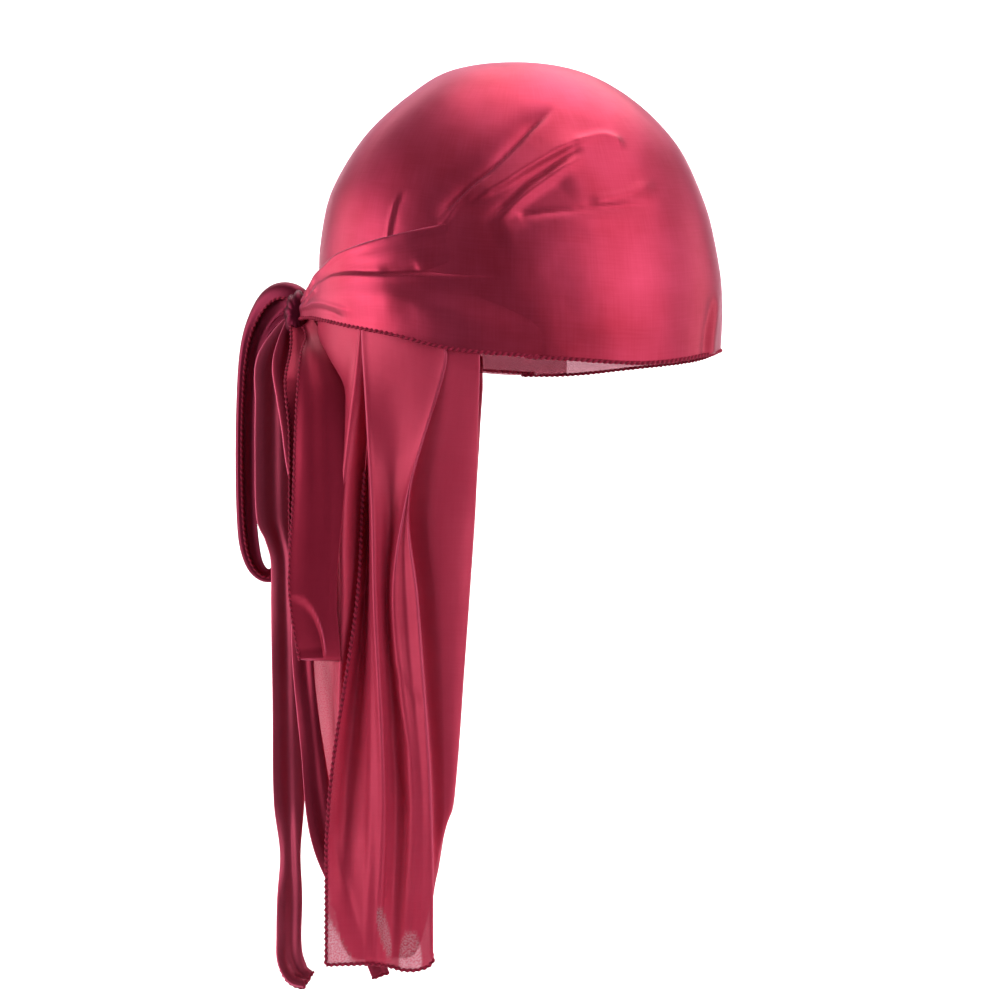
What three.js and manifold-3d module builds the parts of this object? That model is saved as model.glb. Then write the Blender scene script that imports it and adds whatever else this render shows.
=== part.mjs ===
// A silky durag as it sits on a head: a seamed crown, a long tail hanging from the nape,
// and two straps that wrap round the back of the crown and are tied there in a soft bow.
// Millimetres. +Z is up, the wearer faces -Y and the wearer's right side is -X.
// The origin is the middle of the crown's mouth, at the level of its hem.
import * as THREE from "three";
import { mergeVertices } from "three/addons/utils/BufferGeometryUtils.js";
import Module from "manifold-3d";

const wasm = await Module();
wasm.setup();

// Driving dimensions
const CROWN_WIDTH = 156; // across the outside, over the ears
const CROWN_LENGTH = 202; // across the outside, from the forehead to the back of the head
const CROWN_HEIGHT = 150; // from the hem's level to the top
const CROWN_WALL = 1.5; // cloth and its seam allowance
const HEM_BEAD = 0.9; // how far the overlocked hem stands out of the cloth
const HEM_DEPTH = 3; // height of the overlocked hem
const HEM_END = 12; // how far behind the mouth's middle the tail takes over from the hem
const WIDEST_SHIFT = 10; // how far behind the mouth's middle the head is widest
const TAIL_WALL = 1.0;
const TAIL_DROP = 290; // from the hem's level to the tail's foot
const TAIL_LAP = 9; // how far the tail's top reaches up over the crown's lower edge
const STRAP_WALL = 1.1;
const STRAP_WIDTH = 30; // a strap's width where it hangs free, lightly folded
const PLEAT_RISE = 1.6; // height of the gathered pleats that run into the knot
const KNOT_WIDTH = 24; // across the back of the head
const KNOT_DEPTH = 14.5; // front to back
const KNOT_HEIGHT = 26;
const KNOT_STANDOFF = 9.8; // from the crown's back to the knot's middle
const KNOT_LEVEL = 24; // above the hem's level
const LOOP_DROP_RIGHT = 169; // from the knot's middle to the bottom of the bow's loop
const LOOP_DROP_LEFT = 137;
const END_DROP_RIGHT = 322; // from the knot's middle to the strap's tip
const END_DROP_LEFT = 336;
const GAP = 0.4; // clear space between cloth that lies on cloth
const STRAP_EASE = 0.3; // extra slack of the straps over the tail
const FOLD_RISE = 2.4; // height of the folds that fan out over the crown

const HALF_WIDTH = CROWN_WIDTH / 2;
const CROWN_FRONT = CROWN_LENGTH / 2;
const CROWN_BACK = CROWN_LENGTH / 2;
const KNOT = new THREE.Vector3(0, CROWN_BACK + KNOT_STANDOFF, KNOT_LEVEL);
const CLOTH_COLOUR = 0xa3264a;

// Tables are read by a cubic through their rows. The first column is where each row stands.
function readTable(rows, at) {
  const last = rows.length - 1;
  let i = 0;
  while (i < last - 1 && at > rows[i + 1][0]) i++;
  const slope = (k, c) => {
    const lower = Math.max(k - 1, 0);
    const upper = Math.min(k + 1, last);
    return (rows[upper][c] - rows[lower][c]) / (rows[upper][0] - rows[lower][0]);
  };
  const span = rows[i + 1][0] - rows[i][0];
  const s = Math.min(Math.max((at - rows[i][0]) / span, 0), 1);
  return rows[i].map((_, c) => {
    const [a, b] = [rows[i][c], rows[i + 1][c]];
    const rise = s * s * (3 - 2 * s);
    const into = s * (1 - s) * (1 - s) * span * slope(i, c);
    const out = s * s * (s - 1) * span * slope(i + 1, c);
    return a + (b - a) * rise + into + out;
  });
}

const smooth = (low, high, x) => {
  const s = Math.min(Math.max((x - low) / (high - low), 0), 1);
  return s * s * (3 - 2 * s);
};

// The crown's form: one row for each level from the top to the hem.
// fall: share of the way down; height: share of the crown's height above its lower edge;
// front, side, back: shares of the reach in each direction.
const CROWN_LEVELS = [
  // fall, height, front, side, back
  [-0.17, 0.962, -0.322, -0.34, -0.345],
  [0, 1, 0, 0, 0],
  [0.17, 0.962, 0.322, 0.34, 0.345],
  [0.33, 0.857, 0.58, 0.6, 0.56],
  [0.49, 0.7, 0.787, 0.79, 0.77],
  [0.655, 0.49, 0.921, 0.92, 0.93],
  [0.81, 0.28, 0.985, 0.982, 0.985],
  [0.925, 0.12, 1, 1, 0.99],
  [1, 0, 0.99, 0.985, 0.99],
];

// The crown's lower edge, as shares of the crown's height. It sits a little askew.
// turn: 0 at the forehead, 0.25 over the right ear, 0.5 at the nape, 0.75 over the left ear.
const CROWN_EDGE = [
  // turn, level
  [-0.07, 0.032],
  [0, 0.045],
  [0.07, 0.015],
  [0.14, -0.026],
  [0.2, -0.014],
  [0.27, 0.01],
  [0.32, 0.075],
  [0.38, 0.125],
  [0.44, 0.148],
  [0.5, 0.15],
  [0.56, 0.148],
  [0.62, 0.125],
  [0.68, 0.075],
  [0.73, 0.002],
  [0.79, -0.008],
  [0.86, 0.02],
  [0.93, 0.032],
  [1, 0.045],
  [1.07, 0.015],
];
const PLAN_POWER = 2.2; // how square the crown is from above, 2 being an ellipse

const crownEdge = (turn) => readTable(CROWN_EDGE, turn - Math.floor(turn))[1] * CROWN_HEIGHT;

function crownPoint(turn, fall) {
  const angle = 2 * Math.PI * turn;
  const bulge = (x) => Math.sign(x) * Math.abs(x) ** (2 / PLAN_POWER);
  const [along, across] = [bulge(Math.cos(angle)), bulge(Math.sin(angle))];
  const [, height, front, side, back] = readTable(CROWN_LEVELS, fall);
  const reach = along > 0 ? -CROWN_FRONT * front : -CROWN_BACK * back;
  const edge = crownEdge(turn);
  return new THREE.Vector3(
    -HALF_WIDTH * side * across,
    reach * along + WIDEST_SHIFT * side * across * across,
    edge + height * (CROWN_HEIGHT - edge),
  );
}

function normalOf(surface, u, v, step) {
  const alongU = surface(u + step, v).sub(surface(u - step, v));
  const alongV = surface(u, v + step).sub(surface(u, v - step));
  return alongU.cross(alongV).normalize();
}

// A point a given height above the crown, at a level, and out from its cloth by lift.
function overCrown(turn, level, lift) {
  let low = 0.3;
  let high = 1;
  for (let k = 0; k < 24; k++) {
    const middle = (low + high) / 2;
    if (crownPoint(turn, middle).z > level) low = middle;
    else high = middle;
  }
  const fall = (low + high) / 2;
  const point = crownPoint(turn, fall);
  const out = normalOf(crownPoint, turn, Math.min(fall, 0.98), 0.004);
  point.z = level;
  out.z = 0;
  return point.addScaledVector(out.normalize(), lift);
}

// Folds that fan out over each side of the crown from where the strap is pulled back.
// from and to are a fold's two ends, as shares of the crown's front reach ahead of the mouth's
// middle and of its height. rise is a share of FOLD_RISE; bow and wide are shares of the height.
const CROWN_FOLDS = [
  // from ahead, from level, to ahead, to level, bow, rise, wide
  [-0.42, 0.43, 0.03, 0.72, 0, 1.0, 0.05],
  [-0.24, 0.487, 0.284, 0.669, 0, 0.8, 0.042],
  [0.083, 0.443, 0.634, 0.5, -0.012, 0.8, 0.045],
  [-0.104, 0.4, 0.66, 0.38, 0.046, 0.3, 0.06],
  [-0.608, 0.43, -0.561, 0.52, 0, 0.5, 0.05],
];

function foldRise(point) {
  const [ahead, level] = [-point.y / CROWN_FRONT, point.z / CROWN_HEIGHT];
  let total = 0;
  for (const [fromAhead, fromLevel, toAhead, toLevel, bow, rise, wide] of CROWN_FOLDS) {
    const run = [(toAhead - fromAhead) * CROWN_FRONT, (toLevel - fromLevel) * CROWN_HEIGHT];
    const length = Math.hypot(...run);
    const offset = [(ahead - fromAhead) * CROWN_FRONT, (level - fromLevel) * CROWN_HEIGHT];
    const share = (offset[0] * run[0] + offset[1] * run[1]) / length ** 2;
    if (share < -0.1 || share > 1.1) continue;
    const straight = (offset[1] * run[0] - offset[0] * run[1]) / length;
    const aside = straight / CROWN_HEIGHT - bow * 4 * share * (1 - share);
    const fade = smooth(-0.1, 0.15, share) * (1 - smooth(0.6, 1.1, share));
    total += rise * fade * Math.exp(-((aside / wide) ** 2));
  }
  const clearOfStrap = Math.max(smooth(0.43, 0.5, level), smooth(0.2, 0.35, ahead));
  return total * FOLD_RISE * clearOfStrap * smooth(0.15, 0.4, Math.abs(point.x) / HALF_WIDTH);
}

// Closed geometry from a list of points and a list of triangles
function closedGeometry(points, triangles) {
  const geometry = new THREE.BufferGeometry();
  geometry.setAttribute(
    "position",
    new THREE.Float32BufferAttribute(points.flatMap((p) => [p.x, p.y, p.z]), 3),
  );
  geometry.setIndex(triangles.flat());
  return geometry;
}

// The crown: an outer face with its folds and hem bead, and a plainer face against the head
function crownGeometry() {
  const OUTER = { turns: 84, falls: 21 };
  const INNER = { turns: OUTER.turns / 2, falls: 11 };
  const hemFall = HEM_DEPTH / (CROWN_HEIGHT * 1.3);
  const rings = (count) => {
    const even = Array.from({ length: count - 2 }, (_, i) => ((i + 1) / (count - 2)) * (1 - 2 * hemFall));
    return [...even, 1 - hemFall, 1];
  };
  const points = [];
  const triangles = [];
  const face = ({ turns, falls }, offset, facingOut) => {
    const first = points.length;
    points.push(crownPoint(0, 0).add(new THREE.Vector3(0, 0, offset(crownPoint(0, 0), 0))));
    const levels = rings(falls);
    levels.forEach((fall) => {
      for (let i = 0; i < turns; i++) {
        const turn = i / turns;
        const point = crownPoint(turn, fall);
        const out = normalOf(crownPoint, turn, Math.min(Math.max(fall, 0.02), 0.985), 0.01);
        points.push(point.clone().addScaledVector(out, offset(point, fall)));
      }
    });
    const put = (a, b, c) => triangles.push(facingOut ? [a, b, c] : [a, c, b]);
    for (let i = 0; i < turns; i++) {
      const j = (i + 1) % turns;
      put(first, first + 1 + j, first + 1 + i);
      for (let k = 0; k < falls - 1; k++) {
        const [upper, lower] = [first + 1 + k * turns, first + 1 + (k + 1) * turns];
        put(upper + i, upper + j, lower + i);
        put(upper + j, lower + j, lower + i);
      }
    }
    return first + 1 + (falls - 1) * turns;
  };
  const bead = (point, fall) => {
    const bare = smooth(HEM_END - 6, HEM_END, point.y);
    return HEM_BEAD * (1 - bare) * smooth(1 - 2.2 * hemFall, 1 - 0.9 * hemFall, fall);
  };
  const outerRim = face(OUTER, (point, fall) => foldRise(point) + bead(point, fall), true);
  const innerRim = face(INNER, () => -CROWN_WALL, false);
  for (let i = 0; i < INNER.turns; i++) {
    const [near, far] = [innerRim + i, innerRim + ((i + 1) % INNER.turns)];
    const [a, b, c] = [0, 1, 2].map((k) => outerRim + ((2 * i + k) % OUTER.turns));
    triangles.push([a, b, near], [b, far, near], [b, c, far]);
  }
  return closedGeometry(points, triangles);
}

// A sheet of cloth with a wall, from a surface over u and v from 0 to 1
function sheetGeometry(surface, [columns, rows], wall) {
  const grid = [];
  for (let r = 0; r <= rows; r++)
    for (let c = 0; c <= columns; c++) grid.push(surface(c / columns, r / rows));
  const at = (c, r) => grid[Math.min(Math.max(r, 0), rows) * (columns + 1) + Math.min(Math.max(c, 0), columns)];
  const points = [];
  for (const side of [1, -1])
    for (let r = 0; r <= rows; r++)
      for (let c = 0; c <= columns; c++) {
        const across = at(c + 1, r).clone().sub(at(c - 1, r));
        const down = at(c, r + 1).clone().sub(at(c, r - 1));
        const out = across.cross(down).normalize();
        points.push(at(c, r).clone().addScaledVector(out, (side * wall) / 2));
      }
  const back = (columns + 1) * (rows + 1);
  const triangles = [];
  const quad = (a, b, c, d) => triangles.push([a, b, c], [a, c, d]);
  const id = (c, r) => r * (columns + 1) + c;
  for (let r = 0; r < rows; r++)
    for (let c = 0; c < columns; c++) {
      quad(id(c, r), id(c + 1, r), id(c + 1, r + 1), id(c, r + 1));
      quad(back + id(c, r), back + id(c, r + 1), back + id(c + 1, r + 1), back + id(c + 1, r));
    }
  for (let c = 0; c < columns; c++) {
    quad(id(c + 1, 0), id(c, 0), back + id(c, 0), back + id(c + 1, 0));
    quad(id(c, rows), id(c + 1, rows), back + id(c + 1, rows), back + id(c, rows));
  }
  for (let r = 0; r < rows; r++) {
    quad(id(0, r), id(0, r + 1), back + id(0, r + 1), back + id(0, r));
    quad(id(columns, r + 1), id(columns, r), back + id(columns, r), back + id(columns, r + 1));
  }
  return closedGeometry(points, triangles);
}

// Solids for joining and cutting
function solidOf(geometry) {
  const merged = mergeVertices(geometry, 1e-4);
  const made = new wasm.Manifold(
    new wasm.Mesh({
      numProp: 3,
      vertProperties: new Float32Array(merged.attributes.position.array),
      triVerts: new Uint32Array(merged.index.array),
    }),
  );
  return made;
}

function geometryOf(solid) {
  const mesh = solid.getMesh();
  const geometry = new THREE.BufferGeometry();
  geometry.setAttribute("position", new THREE.BufferAttribute(mesh.vertProperties, 3));
  geometry.setIndex(new THREE.BufferAttribute(mesh.triVerts, 1));
  return geometry;
}

// The tail: one row for each fold, from the right-hand edge round to the left-hand edge.
// turn: where the fold starts on the crown; layer: how many layers of tail lie under it there;
// side and back: shares of the crown's half width and back reach; foot: share of the drop.
const TAIL_MIDDLE = 0.4; // share of the drop at which the middle columns stand
const TAIL_CROWDING = 1.6; // above 1, rows of the mesh crowd toward the top seam
const TAIL_FOLDS = [
  // turn, layer, middle side, middle back, foot side, foot back, foot
  [0.362, 1, -0.68, 0.775, -0.64, 0.95, 1.003],
  [0.358, 1, -0.655, 0.735, -0.68, 0.83, 1.0],
  [0.354, 1, -0.745, 0.69, -0.655, 0.63, 1.0],
  [0.34, 1, -0.7, 0.645, -0.6, 0.575, 1.01],
  [0.312, 1, -0.745, 0.59, -0.65, 0.525, 1.014],
  [0.304, 1, -0.705, 0.55, -0.61, 0.48, 1.012],
  [0.296, 1, -0.755, 0.5, -0.64, 0.43, 0.995],
  [0.288, 1, -0.69, 0.45, -0.57, 0.42, 0.875],
  [0.266, 1, -0.665, 0.265, -0.59, 0.325, 0.72],
  [0.264, 0, -0.575, 0.28, -0.49, 0.38, 0.76],
  [0.3, 0, -0.52, 0.49, -0.42, 0.5, 0.91],
  [0.35, 0, -0.47, 0.69, -0.37, 0.68, 0.95],
  [0.385, 0, -0.38, 0.85, -0.3, 0.83, 0.97],
  [0.43, 0, -0.22, 0.96, -0.17, 0.9, 0.975],
  [0.5, 0, 0, 1.0, 0, 0.93, 0.98],
  [0.57, 0, 0.22, 0.96, 0.17, 0.9, 0.975],
  [0.615, 0, 0.4, 0.87, 0.3, 0.84, 0.97],
  [0.67, 0, 0.5, 0.6, 0.4, 0.58, 0.95],
  [0.736, 0, 0.575, 0.29, 0.49, 0.38, 0.79],
  [0.734, 1, 0.665, 0.27, 0.59, 0.34, 0.76],
  [0.7, 1, 0.74, 0.5, 0.64, 0.47, 0.975],
  [0.66, 1, 0.72, 0.74, 0.6, 0.65, 0.98],
  [0.63, 1, 0.6, 0.97, 0.5, 0.83, 0.965],
];

function tailSurface() {
  const middles = TAIL_FOLDS.map((fold) => new THREE.Vector2(fold[2] * HALF_WIDTH, fold[3] * CROWN_BACK));
  const cloth = [0];
  middles.slice(1).forEach((p, i) => cloth.push(cloth[i] + p.distanceTo(middles[i])));
  const width = cloth[cloth.length - 1];
  const folds = TAIL_FOLDS.map((fold, i) => [cloth[i] / width, ...fold]);
  const hang = (side, back, share) => [side * HALF_WIDTH, back * CROWN_BACK, -share * TAIL_DROP];
  return (u, v) => {
    const [, turn, layer, middleSide, middleBack, footSide, footBack, foot] = readTable(folds, u);
    const lift = GAP + TAIL_WALL / 2 + layer * (GAP + TAIL_WALL);
    const top = overCrown(turn, crownEdge(turn) + TAIL_LAP, lift);
    const edge = overCrown(turn, crownEdge(turn), lift);
    const line = [
      [0, ...top.toArray()],
      [TAIL_LAP / TAIL_DROP, ...edge.toArray()],
      [(2 * TAIL_LAP) / TAIL_DROP, edge.x, edge.y, edge.z - TAIL_LAP],
      [TAIL_MIDDLE + 0.06, ...hang(middleSide, middleBack, TAIL_MIDDLE)],
      [1, ...hang(footSide, footBack, foot)],
    ];
    return new THREE.Vector3(...readTable(line, v ** TAIL_CROWDING).slice(1));
  };
}

// The part of a strap that lies over the crown, from over the ear back to the knot.
// turn: place round the crown; low and high: the strap's edges as shares of the crown's height;
// away: share of the knot's stand-off by which it has left the head.
const WRAP_STATIONS = [
  // along, turn, low, high, away
  [0, 0.22, -0.004, 0.425, 0],
  [0.18, 0.285, 0.024, 0.41, 0],
  [0.36, 0.335, 0.07, 0.385, 0],
  [0.54, 0.38, 0.1, 0.36, 0.03],
  [0.7, 0.42, 0.125, 0.315, 0.06],
  [0.84, 0.45, 0.14, 0.265, 0.2],
  [0.94, 0.475, 0.145, 0.225, 0.5],
  [1, 0.49, 0.145, 0.2, 0.75],
];
const WRAP_PLEATS = 3;

function wrapSurface(mirrored) {
  const under = 2 * (TAIL_WALL + GAP) + GAP + STRAP_EASE + STRAP_WALL / 2;
  const alone = GAP + STRAP_WALL / 2 + FOLD_RISE * 0.4;
  return (u, v) => {
    const [, turn, low, high, away] = readTable(WRAP_STATIONS, u);
    const pleat = Math.abs(Math.sin(Math.PI * WRAP_PLEATS * v)) * PLEAT_RISE * smooth(0.1, 0.9, u);
    const lift = alone + (under - alone) * smooth(0, 0.12, u) + away * KNOT_STANDOFF + pleat;
    const point = overCrown(turn, (low + (high - low) * v) * CROWN_HEIGHT, lift);
    if (mirrored) point.x = -point.x;
    return point;
  };
}

// A free ribbon of strap: its middle line and how it is turned and cupped, station by station.
// side and back: shares of the drop, from the knot; down: share of the drop;
// wide: share of the strap's width; facing: degrees from facing sideways; cup: share of its width.
function ribbonSurface(stations, drop) {
  const centre = (u) => {
    const [, side, back, down] = readTable(stations, u);
    return new THREE.Vector3(side * drop, back * drop, -down * drop).add(KNOT);
  };
  return (u, v) => {
    const [, , , , wide, facing, cup] = readTable(stations, v);
    const step = 0.004;
    const tangent = centre(Math.min(v + step, 1)).sub(centre(Math.max(v - step, 0))).normalize();
    const turn = THREE.MathUtils.degToRad(facing);
    const across = new THREE.Vector3(Math.sin(turn), Math.cos(turn), 0);
    across.addScaledVector(tangent, -across.dot(tangent)).normalize();
    const out = new THREE.Vector3().crossVectors(tangent, across);
    const width = wide * STRAP_WIDTH;
    const j = 2 * u - 1;
    return centre(v)
      .addScaledVector(across, (width / 2) * j)
      .addScaledVector(out, cup * width * (Math.cos(Math.PI * j) + 0.35 * Math.sin(2.5 * Math.PI * j)));
  };
}

const LOOP_RIGHT = [
  // along, side, back, down, wide, facing, cup
  [0, -0.03, 0.0, 0.02, 0.25, 0, 0.1],
  [0.05, -0.1, -0.01, 0.085, 0.35, 0, 0.12],
  [0.12, -0.23, -0.055, 0.17, 0.55, 0, 0.12],
  [0.25, -0.32, -0.07, 0.36, 0.8, 2, 0.07],
  [0.4, -0.34, -0.07, 0.72, 0.93, 2, 0.05],
  [0.5, -0.305, -0.065, 1.0, 0.95, 2, 0.02],
  [0.6, -0.27, -0.06, 0.74, 0.93, 2, 0.04],
  [0.78, -0.26, -0.05, 0.34, 0.72, 0, 0.06],
  [0.93, -0.14, 0.0, 0.13, 0.4, 0, 0.1],
  [1, -0.04, 0.02, 0.04, 0.25, 0, 0.1],
];
const LOOP_LEFT = [
  // along, side, back, down, wide, facing, cup
  [0, 0.03, -0.01, -0.05, 0.3, 20, 0.12],
  [0.06, 0.055, 0.07, -0.06, 0.4, 20, 0.14],
  [0.14, 0.08, 0.13, 0.0, 0.55, 20, 0.14],
  [0.24, 0.1, 0.16, 0.2, 0.75, 20, 0.1],
  [0.38, 0.11, 0.165, 0.62, 0.75, 20, 0.08],
  [0.46, 0.12, 0.16, 0.88, 0.5, 30, 0.06],
  [0.5, 0.14, 0.135, 1.0, 0.42, 40, 0.03],
  [0.54, 0.16, 0.11, 0.88, 0.5, 30, 0.06],
  [0.64, 0.17, 0.09, 0.6, 0.6, 20, 0.08],
  [0.84, 0.15, 0.075, 0.2, 0.5, 20, 0.1],
  [0.94, 0.1, 0.05, 0.06, 0.4, 20, 0.12],
  [1, 0.05, 0.03, 0.0, 0.3, 20, 0.12],
];
const END_LEFT = [
  // along, side, back, down, wide, facing, cup
  [0, 0.006, 0.005, 0.02, 0.25, 20, 0.12],
  [0.06, 0.008, 0.02, 0.065, 0.45, 20, 0.12],
  [0.14, 0.008, 0.038, 0.14, 0.6, 20, 0.1],
  [0.28, 0.006, 0.036, 0.28, 0.58, 20, 0.1],
  [0.44, 0.004, 0.023, 0.44, 0.5, 20, 0.12],
  [0.6, 0.0, 0.02, 0.6, 0.46, 10, 0.14],
  [0.75, 0.0, 0.016, 0.75, 0.44, 10, 0.14],
  [0.83, 0.0, 0.012, 0.83, 0.34, 30, 0.16],
  [0.93, 0.0, 0.017, 0.93, 0.4, 0, 0.14],
  [1, -0.005, -0.012, 1.0, 0.3, 0, 0.1],
];
const END_RIGHT = [
  // along, side, back, down, wide, facing, cup
  [0, -0.012, 0.0, 0.035, 0.25, 10, 0.12],
  [0.07, -0.03, -0.004, 0.08, 0.3, 10, 0.12],
  [0.3, -0.05, -0.02, 0.3, 0.35, 10, 0.12],
  [0.5, -0.085, -0.022, 0.5, 0.38, 10, 0.12],
  [0.66, -0.12, -0.024, 0.66, 0.42, 10, 0.12],
  [0.8, -0.13, -0.042, 0.8, 0.42, 0, 0.12],
  [0.93, -0.125, -0.11, 0.93, 0.36, 0, 0.1],
  [1, -0.12, -0.135, 1.0, 0.3, 0, 0.08],
];

// The knot: the strap drawn round itself, gathered in ridges
function knotGeometry(grow) {
  const RIDGES = 4;
  const AROUND = 24;
  const ALONG = 12;
  const profile = (share) => Math.sin(Math.PI * share) ** 0.75;
  const points = [];
  const triangles = [];
  const pole = (side) => points.push(new THREE.Vector3((side * (KNOT_WIDTH / 2 + grow)), 0, 0).add(KNOT));
  pole(-1);
  for (let k = 1; k < ALONG; k++)
    for (let i = 0; i < AROUND; i++) {
      const angle = (2 * Math.PI * i) / AROUND;
      const share = k / ALONG;
      const ridge = 1 + 0.06 * Math.cos(RIDGES * 2 * Math.PI * share + angle);
      const radius = profile(share) * ridge;
      points.push(
        new THREE.Vector3(
          -Math.cos(Math.PI * share) * (KNOT_WIDTH / 2 + grow),
          Math.cos(angle) * radius * (KNOT_DEPTH / 2 + grow),
          Math.sin(angle) * radius * (KNOT_HEIGHT / 2 + grow),
        ).add(KNOT),
      );
    }
  pole(1);
  const end = points.length - 1;
  const ring = (k, i) => 1 + (k - 1) * AROUND + (i % AROUND);
  for (let i = 0; i < AROUND; i++) {
    triangles.push([0, ring(1, i + 1), ring(1, i)]);
    triangles.push([end, ring(ALONG - 1, i), ring(ALONG - 1, i + 1)]);
    for (let k = 1; k < ALONG - 1; k++) {
      triangles.push([ring(k, i), ring(k, i + 1), ring(k + 1, i)]);
      triangles.push([ring(k, i + 1), ring(k + 1, i + 1), ring(k + 1, i)]);
    }
  }
  return closedGeometry(points, triangles);
}

// Mesh columns and rows of each kind of sheet
const TAIL_MESH = [60, 12];
const WRAP_MESH = [15, 9];
const LOOP_MESH = [6, 30];
const END_MESH = [6, 24];

// Assembly
const durag = new THREE.Group();
const knotSpace = solidOf(knotGeometry(GAP));

function add(name, geometry) {
  const cloth = new THREE.MeshStandardMaterial({ color: CLOTH_COLOUR, roughness: 0.42, metalness: 0 });
  const mesh = new THREE.Mesh(geometry, cloth);
  mesh.name = name;
  durag.add(mesh);
}
const clearOfKnot = (geometry) => {
  const pieces = solidOf(geometry).subtract(knotSpace).decompose();
  return geometryOf(pieces.sort((a, b) => b.volume() - a.volume())[0]);
};

add("crown", crownGeometry());
add("tail", sheetGeometry(tailSurface(), TAIL_MESH, TAIL_WALL));
add("knot", knotGeometry(0));
const addStrap = (name, surface, mesh) => add(name, clearOfKnot(sheetGeometry(surface, mesh, STRAP_WALL)));
addStrap("strap_wrap_right", wrapSurface(false), WRAP_MESH);
addStrap("strap_wrap_left", wrapSurface(true), WRAP_MESH);
addStrap("bow_loop_right", ribbonSurface(LOOP_RIGHT, LOOP_DROP_RIGHT), LOOP_MESH);
addStrap("bow_loop_left", ribbonSurface(LOOP_LEFT, LOOP_DROP_LEFT), LOOP_MESH);
addStrap("strap_end_right", ribbonSurface(END_RIGHT, END_DROP_RIGHT), END_MESH);
addStrap("strap_end_left", ribbonSurface(END_LEFT, END_DROP_LEFT), END_MESH);

export default durag;
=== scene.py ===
import math

import bpy
import numpy as np
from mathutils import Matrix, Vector


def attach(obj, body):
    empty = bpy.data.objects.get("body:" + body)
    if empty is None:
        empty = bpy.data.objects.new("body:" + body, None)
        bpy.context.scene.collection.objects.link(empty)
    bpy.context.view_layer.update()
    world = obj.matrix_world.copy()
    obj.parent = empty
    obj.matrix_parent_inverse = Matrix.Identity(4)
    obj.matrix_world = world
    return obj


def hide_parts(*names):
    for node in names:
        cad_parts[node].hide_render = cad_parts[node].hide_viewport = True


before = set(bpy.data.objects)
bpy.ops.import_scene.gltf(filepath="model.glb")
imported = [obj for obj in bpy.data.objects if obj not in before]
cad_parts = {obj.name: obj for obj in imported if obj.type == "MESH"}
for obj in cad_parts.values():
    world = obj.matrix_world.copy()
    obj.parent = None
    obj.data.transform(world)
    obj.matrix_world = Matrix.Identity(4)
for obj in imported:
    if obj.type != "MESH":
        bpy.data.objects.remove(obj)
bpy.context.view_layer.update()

# Crown: two panels of thin silky satin sewn over the top of the head into a dome. The straps
# pull it back, so folds fan out over each side. Lengths are in millimetres until a mesh is made.
CROWN_WIDTH = 156
CROWN_FRONT = 101
CROWN_BACK = 101
CROWN_HEIGHT = 150
WIDEST_SHIFT = 10
PLAN_POWER = 2.2
HALF_WIDTH = CROWN_WIDTH / 2
CROWN_CLOTH = 0.7
CROWN_MEAN_RADIUS = 92
CROWN_ARC = 0.19
HEM_RISE = 0.25
FOLD_RISE = 2.4

CROWN_LEVELS = [
    # fall, height, front, side, back: shares of the crown's height and reaches
    (-0.17, 0.962, -0.322, -0.34, -0.345),
    (0, 1, 0, 0, 0),
    (0.17, 0.962, 0.322, 0.34, 0.345),
    (0.33, 0.857, 0.58, 0.6, 0.56),
    (0.49, 0.7, 0.787, 0.79, 0.77),
    (0.655, 0.49, 0.921, 0.92, 0.93),
    (0.81, 0.28, 0.985, 0.982, 0.985),
    (0.925, 0.12, 1, 1, 0.99),
    (1, 0, 0.99, 0.985, 0.99),
]
CROWN_EDGE = [
    # turn (0 forehead, 0.25 right ear, 0.5 nape), level as a share of the height
    (-0.07, 0.032),
    (0, 0.045),
    (0.07, 0.015),
    (0.14, -0.02),
    (0.2, -0.014),
    (0.27, 0.01),
    (0.32, 0.075),
    (0.38, 0.125),
    (0.44, 0.148),
    (0.5, 0.15),
    (0.56, 0.148),
    (0.62, 0.125),
    (0.68, 0.075),
    (0.73, 0.002),
    (0.79, -0.012),
    (0.86, 0.008),
    (0.93, 0.024),
    (1, 0.045),
    (1.07, 0.015),
]
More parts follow.
